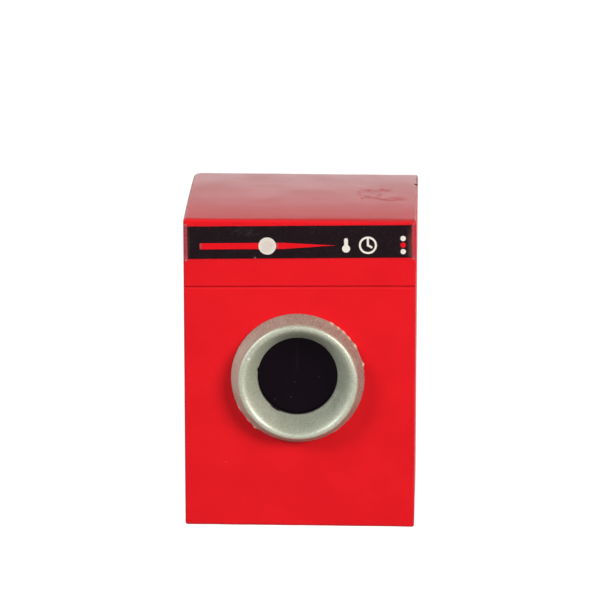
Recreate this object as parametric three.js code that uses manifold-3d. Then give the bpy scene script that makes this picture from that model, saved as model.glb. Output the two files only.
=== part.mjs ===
// Dollhouse tumble dryer: a painted wooden block whose front carries a moulded door ring,
// a black porthole disc in a blind bore behind it, and a printed label near the top.
// Millimetres, +Z up, the front faces -Y. The origin is the middle of the underside.

import * as THREE from 'three';
import { mergeVertices } from 'three/addons/utils/BufferGeometryUtils.js';
import Module from 'manifold-3d';

const wasm = await Module();
wasm.setup();

// Wooden block: its height is to the crown of the top, which falls to the front and back
const cabinetWidth = 36.2;
const cabinetDepth = 29.8;
const cabinetHeight = 50.3;
const topCrown = 0.3;
const arrisRadius = 0.4;
const wornCornerRadius = 1.4;

// Saw groove across the front, under the label
const grooveDrop = 10.76;
const grooveWidth = 0.5;
const grooveDepth = 0.22;
const grooveTurnDegrees = 0.65;

// Door ring: hole, bell-shaped funnel up to the crest, rolled lip, outer cone, flange edge
// and spigot
const holeRadius = 6.25;
const holeSetback = 0.9;
const funnelWidth = 2.55;
const funnelBendShare = 0.31;
const crestReach = 2.9;
const lipRadius = 0.6;
const coneSpread = 1.05;
const flangeEdge = 0.3;
const spigotWall = 1;
const spigotLength = 1.6;
const ringBelowGroove = 4.28;
const ringOffset = -0.27;

// Blind bore behind the ring and the black disc at its bottom
const spigotClearance = 0.15;
const discThickness = 1;
const discClearance = 0.1;

// Label: clear film, black ground and the line that its marks stand on
const filmMargin = 0.05;
const filmHeight = 6;
const filmThickness = 0.1;
const inkThickness = 0.05;
const labelDrop = 3.45;
const labelTurnDegrees = 0.93;
const groundEndMargin = 0.25;
const groundHeight = 5.18;
const printLineDrop = 0.6;

// Red track with a tapered end, and the round pale mark that is set on it
const trackInset = 1.88;
const trackHeight = 0.99;
const trackTaper = 8.05;
const trackGap = 1.05;
const markRadius = 1.37;
const markBeforeTaper = 2.5;

// Thermometer symbol
const heatSymbolInset = 10.2;
const heatSymbolHeight = 2.3;
const bulbRadius = 0.62;
const stemWidth = 0.6;

// Timer symbol: a ring with a long and a short hand
const timerSymbolInset = 6.8;
const timerRadius = 1.4;
const timerLine = 0.32;
const timerHandWidth = 0.34;
const timerShortHand = 0.78;
const timerShortHandDegrees = 120;

// Column of three printed lamps
const lampInset = 1.34;
const lampRadius = 0.42;
const lampPitch = 1.05;

// Facets on round forms, and how far a cutting solid runs past what it cuts
const ringSegments = 72;
const lipSegments = 5;
const funnelSegments = 10;
const arrisSegments = 4;
const printSegments = 12;
const overrun = 1;

const frontPlane = -cabinetDepth / 2;
const crestRadius = holeRadius + funnelWidth;
const flangeRadius = crestRadius + lipRadius + coneSpread;
const spigotRadius = holeRadius + spigotWall;
const boreRadius = spigotRadius + spigotClearance;
const boreDepth = spigotLength + discClearance + discThickness;
const frontHeight = cabinetHeight - topCrown;
const grooveHeight = frontHeight - grooveDrop;
const ringHeight = grooveHeight - ringBelowGroove - flangeRadius;
const filmWidth = cabinetWidth - 2 * (arrisRadius + filmMargin);
const groundWidth = filmWidth - 2 * groundEndMargin;

// Materials

function material(color, roughness, metalness = 0) {
  return new THREE.MeshStandardMaterial({ color, roughness, metalness });
}

const redLacquer = material(0xe01e26, 0.25);
const silverPaint = material(0xa9aa9c, 0.45, 0.6);
const blackGloss = material(0x181218, 0.2);
const clearFilm = new THREE.MeshStandardMaterial({
  color: 0xf4f0ee,
  roughness: 0.15,
  transparent: true,
  opacity: 0.25,
});
const blackInk = material(0x241e20, 0.35);
const redInk = material(0xe2202c, 0.35);
const paleInk = material(0xd9c6bb, 0.4);
const whiteInk = material(0xf6f2ee, 0.4);

// Solids for cutting and joining

function solidOf(geometry) {
  const plain = geometry.clone();
  plain.deleteAttribute('normal');
  plain.deleteAttribute('uv');
  const merged = mergeVertices(plain);
  return new wasm.Manifold(new wasm.Mesh({
    numProp: 3,
    vertProperties: new Float32Array(merged.attributes.position.array),
    triVerts: new Uint32Array(merged.index.array),
  }));
}

function geometryOf(solid) {
  const mesh = solid.getMesh();
  const geometry = new THREE.BufferGeometry();
  geometry.setAttribute('position', new THREE.BufferAttribute(mesh.vertProperties, 3));
  geometry.setIndex(new THREE.BufferAttribute(mesh.triVerts, 1));
  geometry.computeVertexNormals();
  return geometry;
}

// Outlines and prisms

// A rectangle about x = 0 whose upper side may be crowned. Its corner radii go round
// from lower left.
function roundedRectangle(width, bottom, top, radii, crown = 0) {
  const [lowerLeft, lowerRight, upperRight, upperLeft] = radii;
  const right = width / 2;
  const quarter = Math.PI / 2;
  const shape = new THREE.Shape();
  shape.absarc(-right + lowerLeft, bottom + lowerLeft, lowerLeft, -2 * quarter, -quarter);
  shape.absarc(right - lowerRight, bottom + lowerRight, lowerRight, -quarter, 0);
  shape.absarc(right - upperRight, top - upperRight, upperRight, 0, quarter);
  shape.quadraticCurveTo(0, top + 2 * crown, -right + upperLeft, top);
  shape.absarc(-right + upperLeft, top - upperLeft, upperLeft, quarter, 2 * quarter);
  return shape;
}

function prism(shape, depth, curveSegments) {
  return new THREE.ExtrudeGeometry(shape, { depth, curveSegments, bevelEnabled: false });
}

// Turns a prism so that its outline lies in X and Z and it grows towards the front.
function facingFront(geometry) {
  return geometry.rotateX(Math.PI / 2);
}

// Turns a prism so that its outline lies in Y and Z and it grows towards +X.
function facingSide(geometry) {
  return geometry.rotateX(Math.PI / 2).rotateZ(Math.PI / 2);
}

// Wooden block

function blockBlank() {
  const arris = Array(4).fill(arrisRadius);
  const planRadii = [arrisRadius, arrisRadius, arrisRadius, wornCornerRadius];
  const back = cabinetDepth / 2;
  const plan = roundedRectangle(cabinetWidth, -back, back, planRadii);
  const front = roundedRectangle(cabinetWidth, 0, cabinetHeight, arris);
  const side = roundedRectangle(cabinetDepth, 0, frontHeight, arris, topCrown);
  const upright = prism(plan, cabinetHeight, arrisSegments);
  const through = facingFront(prism(front, cabinetDepth, arrisSegments));
  through.translate(0, back, 0);
  const across = facingSide(prism(side, cabinetWidth, arrisSegments));
  across.translate(-cabinetWidth / 2, 0, 0);
  return solidOf(upright).intersect(solidOf(through)).intersect(solidOf(across));
}

function grooveCutter() {
  const mouth = (grooveWidth / 2) * (1 + overrun / grooveDepth);
  const length = cabinetWidth + 2 * overrun;
  const shape = new THREE.Shape([
    new THREE.Vector2(grooveDepth, 0),
    new THREE.Vector2(-overrun, mouth),
    new THREE.Vector2(-overrun, -mouth),
  ]);
  const cutter = facingSide(prism(shape, length, 1));
  cutter.translate(-length / 2, 0, 0);
  cutter.rotateY(-THREE.MathUtils.degToRad(grooveTurnDegrees));
  cutter.translate(0, frontPlane, grooveHeight);
  return solidOf(cutter);
}

function boreCutter() {
  const profile = [
    new THREE.Vector2(0, -overrun),
    new THREE.Vector2(boreRadius, -overrun),
    new THREE.Vector2(boreRadius, boreDepth),
    new THREE.Vector2(0, boreDepth),
  ];
  const cutter = new THREE.LatheGeometry(profile, ringSegments);
  cutter.translate(ringOffset, frontPlane, ringHeight);
  return solidOf(cutter);
}

function cabinetBlock() {
  const block = blockBlank().subtract(grooveCutter()).subtract(boreCutter());
  const mesh = new THREE.Mesh(geometryOf(block), redLacquer);
  mesh.name = 'cabinet_block';
  return mesh;
}

// Door ring, turned about the bore's axis: the profile's y runs back from the front plane.

function doorRing() {
  const profile = new THREE.Path();
  profile.moveTo(crestRadius, -crestReach);
  profile.absarc(crestRadius, lipRadius - crestReach, lipRadius, -Math.PI / 2, 0);
  profile.lineTo(flangeRadius, -flangeEdge);
  profile.lineTo(flangeRadius, 0);
  profile.lineTo(spigotRadius, 0);
  profile.lineTo(spigotRadius, spigotLength);
  profile.lineTo(holeRadius, spigotLength);
  profile.lineTo(holeRadius, holeSetback);
  const outline = profile.getPoints(lipSegments);
  const funnel = new THREE.QuadraticBezierCurve(
    new THREE.Vector2(holeRadius, holeSetback),
    new THREE.Vector2(crestRadius - funnelBendShare * funnelWidth, -crestReach),
    new THREE.Vector2(crestRadius, -crestReach),
  );
  const points = [...outline, ...funnel.getPoints(funnelSegments).slice(1)];
  const mesh = new THREE.Mesh(new THREE.LatheGeometry(points, ringSegments), silverPaint);
  mesh.name = 'door_ring';
  mesh.position.set(ringOffset, frontPlane, ringHeight);
  return mesh;
}

// Black disc at the bottom of the bore

function portholeDisc() {
  const radius = boreRadius - discClearance;
  const front = boreDepth - discThickness;
  const profile = [
    new THREE.Vector2(0, front),
    new THREE.Vector2(radius, front),
    new THREE.Vector2(radius, boreDepth),
    new THREE.Vector2(0, boreDepth),
  ];
  const mesh = new THREE.Mesh(new THREE.LatheGeometry(profile, ringSegments), blackGloss);
  mesh.name = 'porthole_disc';
  mesh.position.set(ringOffset, frontPlane, ringHeight);
  return mesh;
}

// Label pieces. Their outlines lie in the label's own frame, centred on the film.

function printed(name, shape, thickness, behind, finish) {
  const geometry = facingFront(prism(shape, thickness, printSegments));
  const mesh = new THREE.Mesh(geometry, finish);
  mesh.name = name;
  mesh.position.y = -behind;
  return mesh;
}

function rectangle(width, height) {
  return new THREE.Shape([
    new THREE.Vector2(-width / 2, -height / 2),
    new THREE.Vector2(width / 2, -height / 2),
    new THREE.Vector2(width / 2, height / 2),
    new THREE.Vector2(-width / 2, height / 2),
  ]);
}

function disc(x, z, radius) {
  const shape = new THREE.Shape();
  shape.absarc(x, z, radius, 0, 2 * Math.PI);
  return shape;
}

function sliderTrack() {
  const left = -groundWidth / 2 + trackInset;
  const tip = groundWidth / 2 - heatSymbolInset - bulbRadius - trackGap;
  const taperStart = tip - trackTaper;
  const half = trackHeight / 2;
  return {
    markX: taperStart - markBeforeTaper,
    shape: new THREE.Shape([
      new THREE.Vector2(left, -printLineDrop - half),
      new THREE.Vector2(taperStart, -printLineDrop - half),
      new THREE.Vector2(tip, -printLineDrop),
      new THREE.Vector2(taperStart, -printLineDrop + half),
      new THREE.Vector2(left, -printLineDrop + half),
    ]),
  };
}

// A thermometer: a round bulb below and a round-topped stem above, as one outline.
function thermometer() {
  const x = groundWidth / 2 - heatSymbolInset;
  const half = stemWidth / 2;
  const bulbZ = -printLineDrop - heatSymbolHeight / 2 + bulbRadius;
  const stemTop = -printLineDrop + heatSymbolHeight / 2 - half;
  const neck = Math.acos(Math.min(half / bulbRadius, 1));
  const shape = new THREE.Shape();
  shape.absarc(x, stemTop, half, 0, Math.PI);
  shape.absarc(x, bulbZ, bulbRadius, Math.PI - neck, 2 * Math.PI + neck);
  return shape;
}

// A bar from the hub of the timer symbol outwards, turned clockwise from upright.
function timerHand(length, degrees) {
  const shape = new THREE.Shape([
    new THREE.Vector2(-timerHandWidth / 2, -timerHandWidth / 2),
    new THREE.Vector2(timerHandWidth / 2, -timerHandWidth / 2),
    new THREE.Vector2(timerHandWidth / 2, length),
    new THREE.Vector2(-timerHandWidth / 2, length),
  ]);
  const hand = prism(shape, inkThickness, 1);
  return hand.rotateZ(-THREE.MathUtils.degToRad(degrees));
}

function timerSymbol() {
  const rim = disc(0, 0, timerRadius);
  rim.holes.push(disc(0, 0, timerRadius - timerLine));
  const longHand = timerHand(timerRadius - timerLine / 2, 0);
  const shortHand = timerHand(timerShortHand, timerShortHandDegrees);
  const face = solidOf(prism(rim, inkThickness, printSegments))
    .add(solidOf(longHand))
    .add(solidOf(shortHand));
  const mesh = new THREE.Mesh(facingFront(geometryOf(face)), whiteInk);
  mesh.name = 'timer_symbol';
  mesh.position.set(
    groundWidth / 2 - timerSymbolInset,
    -filmThickness - inkThickness,
    -printLineDrop,
  );
  return mesh;
}

function lampMarks() {
  const rows = [
    ['lamp_mark_upper', 1, whiteInk],
    ['lamp_mark_middle', 0, redInk],
    ['lamp_mark_lower', -1, whiteInk],
  ];
  const x = groundWidth / 2 - lampInset;
  return rows.map(([name, step, finish]) => {
    const shape = disc(x, -printLineDrop + step * lampPitch, lampRadius);
    return printed(name, shape, inkThickness, filmThickness + inkThickness, finish);
  });
}

function label() {
  const onGround = filmThickness + inkThickness;
  const onTrack = onGround + inkThickness;
  const track = sliderTrack();
  const mark = disc(track.markX, -printLineDrop, markRadius);
  const group = new THREE.Group();
  group.add(printed('label_film', rectangle(filmWidth, filmHeight), filmThickness, 0, clearFilm));
  group.add(printed('label_ground', rectangle(groundWidth, groundHeight), inkThickness,
    filmThickness, blackInk));
  group.add(printed('slider_track', track.shape, inkThickness, onGround, redInk));
  group.add(printed('slider_mark', mark, inkThickness, onTrack, paleInk));
  group.add(printed('heat_symbol', thermometer(), inkThickness, onGround, whiteInk));
  group.add(timerSymbol());
  group.add(...lampMarks());
  group.position.set(0, frontPlane, frontHeight - labelDrop);
  group.rotation.y = -THREE.MathUtils.degToRad(labelTurnDegrees);
  return group;
}

const dryer = new THREE.Group();
dryer.add(cabinetBlock(), doorRing(), portholeDisc(), label());

export default dryer;
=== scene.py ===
# Dollhouse tumble dryer: a lacquered wooden block with a silver-painted door ring, a black
# porthole disc in the bore behind it, and a printed label near the top of its front.
# Sizes are in millimetres, and turn into metres where a mesh, light or camera is made.

import math

import bmesh
import bpy
import numpy as np
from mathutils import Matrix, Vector, noise


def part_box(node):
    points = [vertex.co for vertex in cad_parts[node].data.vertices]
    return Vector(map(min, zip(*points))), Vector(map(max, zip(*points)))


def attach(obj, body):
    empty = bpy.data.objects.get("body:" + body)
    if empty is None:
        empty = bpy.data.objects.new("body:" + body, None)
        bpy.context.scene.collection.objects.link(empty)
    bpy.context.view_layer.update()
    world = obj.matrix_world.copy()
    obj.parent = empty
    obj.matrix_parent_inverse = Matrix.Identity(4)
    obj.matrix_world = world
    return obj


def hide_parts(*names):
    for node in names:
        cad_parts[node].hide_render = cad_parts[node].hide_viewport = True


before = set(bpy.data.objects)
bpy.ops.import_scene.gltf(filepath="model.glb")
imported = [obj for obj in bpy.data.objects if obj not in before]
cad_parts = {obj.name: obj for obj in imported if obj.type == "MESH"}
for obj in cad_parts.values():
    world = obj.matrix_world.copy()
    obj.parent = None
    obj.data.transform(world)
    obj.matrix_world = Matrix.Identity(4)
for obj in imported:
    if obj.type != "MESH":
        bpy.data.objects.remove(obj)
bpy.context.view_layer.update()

MM = 0.001

# Wooden block: eased edges, crowned top and the corners that are worn rounder
ARRIS_RADIUS = 0.4
ARRIS_UNEVENNESS = 0.2
ARRIS_WAVE = 3.0
TOP_CROWN = 0.3
BEVEL_STRETCH = 2.2
BEVEL_REACH = 3.5
RIGHT_SHARPNESS = 0.25
SHARP_REACH = 4.0
BACK_CORNER_RADII = (2.1, 0.7)
BACK_LIFT = 0.06
LIFT_REACH = 2.0
BLOCK_SWELL = 0.003
BLOCK_SWELL_LENGTH = 9.0

# Saw groove across the front
GROOVE_DROP = 10.76
GROOVE_WIDTH = 0.5
GROOVE_DEPTH = 0.24
GROOVE_FULLNESS = 0.8
GROOVE_TURN = math.radians(0.65)
GROOVE_REACH = 6.0

# Rubbed streaks on the top: half width, strength and a path in X and Y. Then the pits in them,
# and the patch round them that is raised a little and paler.
SCARS = (
    (0.75, 0.8, ((9.1, 2.6), (9.5, 3.2), (10.0, 3.4), (10.5, 3.1), (11.1, 2.6), (11.9, 2.5))),
    (0.65, 0.9, ((12.3, 3.6), (12.7, 3.8), (13.1, 3.4), (13.5, 3.0))),
    (0.4, 0.5, ((8.9, 2.2), (8.9, 0.6), (9.0, -0.2))),
    (0.6, 0.85, ((9.9, -0.8), (10.4, -1.2), (11.0, -1.7), (11.5, -1.7), (12.2, -2.3),
                 (12.9, -2.7), (13.6, -2.7))),
    (0.9, 0.8, ((13.6, -2.8), (14.2, -2.1), (14.6, -2.0), (15.0, -2.1), (15.4, -2.2))),
    (0.35, 0.5, ((11.9, -0.4), (12.3, 0.6), (12.7, 1.4))),
)
PITS = ((9.4, -2.2), (10.4, -1.2), (11.5, -1.7), (13.65, -2.9), (14.2, -3.0), (15.1, -2.7))
PIT_RADII = (0.22, 0.4)
SCAR_DEPTH = 0.008
SCAR_START = (-1.0, -0.5)
SCAR_GRAIN = 0.9
SCAR_FINE_GRAIN = 0.35
SCAR_FINE_SHARE = 0.7
SCAR_WOBBLE = 0.3
SCAR_FULLNESS = 0.65
SCAR_BREAKS = 1.4
SCAR_LIMITS = (0.1, 1.2)
SCAR_PATCH_CENTRE = (12.4, 0.4)
SCAR_PATCH_RADII = (4.6, 4.0)
SCAR_PATCH_CORE_SHARE = 1 / 3
SCAR_PATCH_RISE = 0.012
SCAR_PATCH_GRAIN = 0.5

# Chips on the right upper edge near the back: place of the middle along Y, radius, and bite.
# The lacquer frays over the edge's width round each, and the halo is full at its second gap.
CHIPS = ((7.6, 0.6, 0.42), (10.3, 0.3, 0.18), (11.6, 0.28, 0.14))
CHIP_EDGE = 0.22
CHIP_HALO = (1.8, 0.6)
FRONT_SPECK = (-11.6, 10.5)
FRONT_SPECK_RADII = (0.22, 0.22)

# Door ring, turned about the bore's axis, with its own unevenness
HOLE_RADIUS = 6.25
HOLE_SETBACK = 0.9
HOLE_EDGE_ROUND = 0.1
FUNNEL_WIDTH = 2.55
FUNNEL_BEND_SHARE = 0.31
LIP_RADIUS = 0.6
FLANGE_EDGE = 0.3
FLANGE_ROUND = 0.1
SPIGOT_WALL = 1.0
BORE_CLEARANCE = 0.15
CAST_SWELL = 0.02
CAST_SWELL_LENGTH = 2.2
CAST_LEAN = 0.04
CREST_BLEND = 0.5

# Flash left on the ring's outer edge: angle from +X towards +Z, height and half length
FLASH_LUMPS = (
    (59.2, 0.14, 0.35), (52.7, 0.07, 0.4), (46.5, 0.11, 0.45), (39.5, 0.06, 0.4),
    (31.0, 0.18, 0.5), (13.2, 0.26, 0.35), (230.3, 0.24, 0.4), (222.0, 0.1, 0.5),
    (208.0, 0.08, 0.6), (305.0, 0.05, 0.5),
)
FLASH_ROOT = 0.5
# How far inside the outer edge the pale flash and its painted highlight begin
FLASH_SHINE_ROOT = 0.3
FLASH_FULL = 0.1
FLASH_FOOT = (-0.8, -0.3)
HOLE_ZONE = (0.5, 1 / 6)
HOLE_NICK_ANGLE = math.radians(171)
HOLE_NICK_DEPTH = 0.16
HOLE_NICK_LENGTH = 0.3
HOLE_OVALITY = 0.06
HOLE_OVAL_ANGLE = math.radians(45)
HOLE_SHIFT = 0.04
PAINT_DRIP_ANGLE = math.radians(235)
PAINT_DRIP_SPAN = math.radians(22)
PAINT_DRIP_REACH = 0.16
PAINT_OVERLAP = 0.05
PAINT_WOBBLE = 0.13
PAINT_EDGE = 0.025
RIM_SPECK_ANGLE = math.radians(153.8)
RIM_SPECK_RADII = (0.3, 0.1)
RIM_SPECK_OUT = 8.5
# Painted shade and painted red reflection on the outer cone: its middle, its spread and how patchy
# it is
CONE_SHADE_ANGLE = math.radians(15)
CONE_SHADE_SPAN = math.radians(230)
CONE_SHADE_PATCHES = 0.6
# Painted light and shade on the funnel and lip: the side where the funnel is lit, and how much the
# lip's foot is lit
LIT_FUNNEL_ANGLE = math.radians(125)
LIP_PAINTED_LIGHT = 0.25

# Porthole disc: its rounded rim and dished face, specks of dust at X and Z, and a faint paler
# upright line on its upper half
DISC_RIM = 0.15
DISC_DISH = 0.05
DUST_SPOTS = ((-0.78, 23.29), (-1.41, 20.82), (-3.92, 20.46), (2.99, 24.15))
DUST_RADII = (0.13, 0.13)
PALE_LINE_X = -0.45
PALE_LINE_HALF = 0.3

# Label: its turn and its clear film, whose ends have a rim and a fold line at these X. A
# painted highlight lies along each fold line.
LABEL_TURN = math.radians(0.93)
FILM_OVERHANG = 0.3
FILM_CORNER_RADIUS = 0.45
FILM_CORNER_LIFT = 0.14
FILM_CORNER_REACH = 0.9
FILM_RIM_START = 17.45
FILM_RIM_EASE = 0.1
FILM_RIM_RIGHT_SHARE = 0.85
FILM_GLINT_RADII = (0.45, 0.15)
FILM_FOLDS = (-17.5, 17.6)
FOLD_HALF = 0.08
FOLD_SHARE = 0.5

# Print
INK_EDGE_ROUND = 0.015
INK_CORNER_RADIUS = 0.12
TRACK_HEIGHT = 0.99
TRACK_TAPER = 8.05
TRACK_END_RADIUS = 0.08
BULB_RADIUS = 0.62
STEM_WIDTH = 0.6
TIMER_LINE = 0.32
HAND_WIDTH = 0.34
SHORT_HAND = 0.78
SHORT_HAND_ANGLE = math.radians(120)

# Wear of the print. The ground fades from one X to another, up to a share. The round mark's
# pale rim begins at a share of its radius.
RED_FADE = 0.4
MARK_INSIDE_SHARE = 0.95
FADES = ((16.6, 17.4, 0.45), (-17.0, -17.5, 0.25))
FADE_Z = 45.9
FADE_HALF = 3.6
LABEL_SPECK = (-6.9, 43.93)
LABEL_SPECK_RADII = (0.2, 0.2)
SCUFF_CENTRE = (-8.4, 48.0)
SCUFF_RADII = (2.8, 0.75)

# Zones and steps of the grid lines, steps of the turned sections, and turns of round pieces
NEAR_ZONE = 2.6
MARK_ZONE_X = (8.0, 17.4)
MARK_ZONE_Y = (-4.0, 5.0)
CHIP_ZONE = (6.4, 12.2)
HOLE_MARGIN = 0.6
BORE_MOUTH = 0.1
EDGE_STEP = 0.08
NEAR_STEP = 0.3
FACE_STEP = 0.9
MARK_STEP = 0.16
GROOVE_STEP = 0.05
FILM_STEP = 0.4
GROUND_STEP = 0.6
LIP_STEPS = 14
CONE_STEPS = 14
BACK_STEPS = 4
FUNNEL_STEPS = 36
DISC_STEPS = 24
DISC_RIM_STEPS = 5
TRACK_CORNER_STEPS = 4
STEM_STEPS = 24
BULB_STEPS = 48
TIMER_STEPS = 80
RING_SEGMENTS = 192
PRINT_SEGMENTS = 96
SHARP_ANGLE = math.radians(40)
TINY = 1e-9

# Camera, lights and floor. The split lights aren't mirrored in the block.
CAMERA_DISTANCE = 640.0
CAMERA_PITCH = math.radians(15.78)
CAMERA_SIDE = math.radians(2.04)
CAMERA_TARGET_X = 0.07
CAMERA_TARGET_Z = 37.16
CAMERA_LENS = 246.6
SENSOR_WIDTH = 36.0
LIGHTS = {
    "key_light": dict(azimuth=49, elevation=25, distance=700, size=240, power=4.75,
                      tint=(1.0, 0.96, 0.92)),
    "fill_light": dict(azimuth=-52, elevation=33, distance=700, size=200, power=2.8,
                       tint=(0.93, 1.0, 1.0)),
    "front_light": dict(azimuth=0, elevation=38, distance=900, size=500, power=0.6),
    "side_light": dict(azimuth=-86, elevation=12, distance=700, size=300, power=0.7),
}
SPLIT_LIGHTS = ("key_light", "fill_light")
FLOOR_HALF = 6000.0
FLOOR_GLOW = 0.95
SKY_AMBIENT = (0.07, 0.07, 0.07)
# What gloss sees of the studio: sine of the elevation, and brightness
SKY_STEPS = (
    (0.0, 1.5), (0.2, 1.5), (0.252, 1.56), (0.28, 1.28), (0.305, 0.62), (0.33, 0.22),
    (0.6, 0.3), (1.0, 0.3),
)

# Colours, as linear light
RED = (0.78, 0.0088, 0.015)
DEEP_RED = (0.5, 0.006, 0.012)
# Painted shade on what faces up, darker towards the back
TOP_SHADE_RED = (0.4, 0.008, 0.014)
SCAR_RED = (0.46, 0.006, 0.01)
# Painted sheen on the upper eased edges
EDGE_SHEEN_RED = (0.56, 0.3, 0.29)
CHIP_BROWN = (0.07, 0.02, 0.022)
HAZE = (0.75, 0.7, 0.68)
SILVER = (0.49, 0.505, 0.405)
DARK_SILVER = (0.375, 0.385, 0.31)
# Silvers of the painted shade and painted red reflection on the outer cone
SHADED_CONE_SILVER = (0.38, 0.345, 0.275)
DARK_SHADED_CONE_SILVER = (0.28, 0.165, 0.145)
# Pale flash, partly its own colour and partly a painted highlight on its lumps
FLASH_SHINE_CREAM = (0.95, 0.75, 0.55)
SPECK_WHITE = (0.9, 0.88, 0.84)
BLACK = (0.004, 0.002, 0.004)
PRINT_BLACK = (0.0105, 0.005, 0.007)
FADED_BLACK = (0.25, 0.09, 0.07)
PRINT_RED = (0.79, 0.008, 0.015)
FADED_RED = (0.24, 0.1, 0.12)
PRINT_PALE = (0.69, 0.61, 0.55)
PRINT_WHITE = (0.82, 0.76, 0.7)
RUBBED_BLACK = (0.04, 0.03, 0.03)
RUBBED_RED = (0.55, 0.01, 0.02)
RUBBED_PALE = (0.5, 0.4, 0.36)
RUBBED_WHITE = (0.6, 0.5, 0.45)
FILM_TINT = (0.45, 0.03, 0.07)
FILM_RIM = (0.3, 0.09, 0.16)
# Painted highlight on the film's fold lines and corners
FILM_HIGHLIGHT = (0.8, 0.4, 0.4)
DUST = (0.4, 0.36, 0.36)
FLOOR_GREY = (0.2, 0.2, 0.2)
WHITE = (1.0, 1.0, 1.0)

# Gloss: index of refraction, and tints where it is seen straight on. At a grazing angle it
# is white.
PAINT_IOR = 1.5
FILM_IOR = 1.4
RED_GLOSS = (0.4, 0.15, 0.15)
DARK_GLOSS = (0.1, 0.08, 0.1)
PRINT_GLOSS = (0.1, 0.09, 0.1)

# How much of each paint covers what lies under it, where its mark is full
MOTTLE_SHARE = 0.16
HAZE_SHARES = (0.015, 0.035)
# Painted shade on the top: its share at the front and at the back
TOP_SHADE_SHARES = (0.35, 1.0)
PATCH_SHARE = 0.03
SCAR_SHARE = 0.7
# Painted shade in the groove
GROOVE_SHADE_SHARE = 0.8
SOAKED_SHARE = 0.5
FRONT_SPECK_SHARE = 0.04
PALE_LINE_SHARE = 0.008
DUST_SHARE = 0.08
SCUFF_SHARE = 0.022
LABEL_SPECK_SHARE = 0.3
TRACK_FADE_SHARE = 0.6
MARK_RIM_SHARE = 0.6

# Roughness of each finish, and what is added to the lacquer's where it is dull
LACQUER_ROUGHNESS = (0.2, 0.27)
SILVER_ROUGHNESS = (0.41, 0.51)
DISC_ROUGHNESS = (0.16, 0.24)
FILM_ROUGHNESS = 0.15
BLACK_INK_ROUGHNESS = (0.25, 0.35)
RED_INK_ROUGHNESS = (0.3, 0.4)
PALE_INK_ROUGHNESS = (0.35, 0.45)
SCAR_DULLNESS = 0.22
EDGE_DULLNESS = 0.4
END_GRAIN_DULLNESS = 0.25

# How finely noise breaks up, sizes of what is uneven in each finish, and its relief's depths
PLAIN_DETAIL = 2.0
FINE_DETAIL = 3.0
MOTTLE_SIZE = 6.0
STREAK_SIZES = (16, 2.0, 0.7)
STREAK_DEPTH = 0.01
PEEL_RIPPLES = (1.1, 0.005)
PORE_STRETCH = (1, 0.35, 1.2)
PORE_SIZE = 0.5
PORE_DEPTH = 0.016
SCRAPE_SIZE = 0.35
SCRAPE_DEPTH = 0.02
FLAKE_SIZE = 0.22
FLAKE_DEPTH = 0.008
CLOUD_SIZE = 1.6
DISC_CLOUD_SIZE = 2.0
DISC_RIPPLES = (1.5, 0.003)
FILM_RIPPLES = (1.2, 0.004)
INK_SPOT_SIZE = 0.35
INK_CLOUD_SIZE = 3.0
INK_RIPPLES = (1.4, 0.004)
SCUFF_SIZE = 0.4

# Ranges over which something grows from none to full: of noise, and of how far the surface
# faces along an axis
WIDE_RANGE = (0.3, 0.7)
MIDDLE_RANGE = (0.35, 0.65)
NARROW_RANGE = (0.4, 0.6)
INK_SPOT_RANGE = (0.5, 0.8)
INK_CLOUD_RANGE = (0.35, 0.75)
SCUFF_RANGE = (0.45, 0.65)
FACING_UP = (0.3, 0.95)
FACING_SIDE = (0.25, 0.8)
FACING_END_GRAIN = (0.6, 0.95)
EDGE_TOP = (0.99, 0.9)
EDGE_FOOT = (0.3, 0.6)
BEHIND_FRONT = (-0.3, -0.1)
FILM_FRONT = (-0.9, -1.0)

# Other values of the silver and of the film
SILVER_METAL = 0.42
# How dark and how light the painted shade and light make the silver
PAINTED_LIGHT_FACTORS = (0.84, 1.2)
FILM_ALPHA = 0.015
RIM_ALPHA = 0.32
PALE_ALPHA = 0.15


def box_of(node):
    """Lowest and highest corner of a CAD node, in millimetres."""
    low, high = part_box(node)
    return Vector(low) / MM, Vector(high) / MM


def radius_of(node):
    """Radius of a round CAD node, whose axis runs along Y."""
    low, high = box_of(node)
    return (high.x - low.x) / 2


BLOCK_LOW, BLOCK_HIGH = box_of("cabinet_block")
RING_LOW, RING_HIGH = box_of("door_ring")
FRONT = BLOCK_LOW.y
FRONT_HEIGHT = BLOCK_HIGH.z - TOP_CROWN
GROOVE_HEIGHT = FRONT_HEIGHT - GROOVE_DROP
RING_X = (RING_LOW.x + RING_HIGH.x) / 2
RING_Z = (RING_LOW.z + RING_HIGH.z) / 2
FLANGE_RADIUS = radius_of("door_ring")
SPIGOT_LENGTH = RING_HIGH.y - FRONT
SPIGOT_RADIUS = HOLE_RADIUS + SPIGOT_WALL
BORE_RADIUS = SPIGOT_RADIUS + BORE_CLEARANCE
BORE_DEPTH = box_of("porthole_disc")[1].y - FRONT
CREST_RADIUS = HOLE_RADIUS + FUNNEL_WIDTH
CREST_REACH = FRONT - RING_LOW.y


# Small maths

def ramp(values, start, end):
    """Eases from 0 where the values are at start to 1 where they are at end, and holds there."""
    shares = np.clip((values - start) / (end - start), 0, 1)
    return shares * shares * (3 - 2 * shares)


def noise_of(points, length):
    """Smooth noise from about -1 to 1 at each point, whose waves have the given length."""
    return np.array([noise.noise(Vector(point) / length) for point in points])


def grid_lines(start, stretches):
    """Coordinates from start on. Each stretch is its end and the step to keep to in it."""
    lines = [start]
    for end, step in stretches:
        first = lines[-1]
        count = max(1, round((end - first) / step))
        lines += [first + (end - first) * i / count for i in range(1, count + 1)]
    return lines


def oval_gap(points, centre, radii):
    """Distance in plan from a centre, where 1 is on the oval with the given radii."""
    return np.linalg.norm((points - centre) / radii, axis=1)


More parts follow.
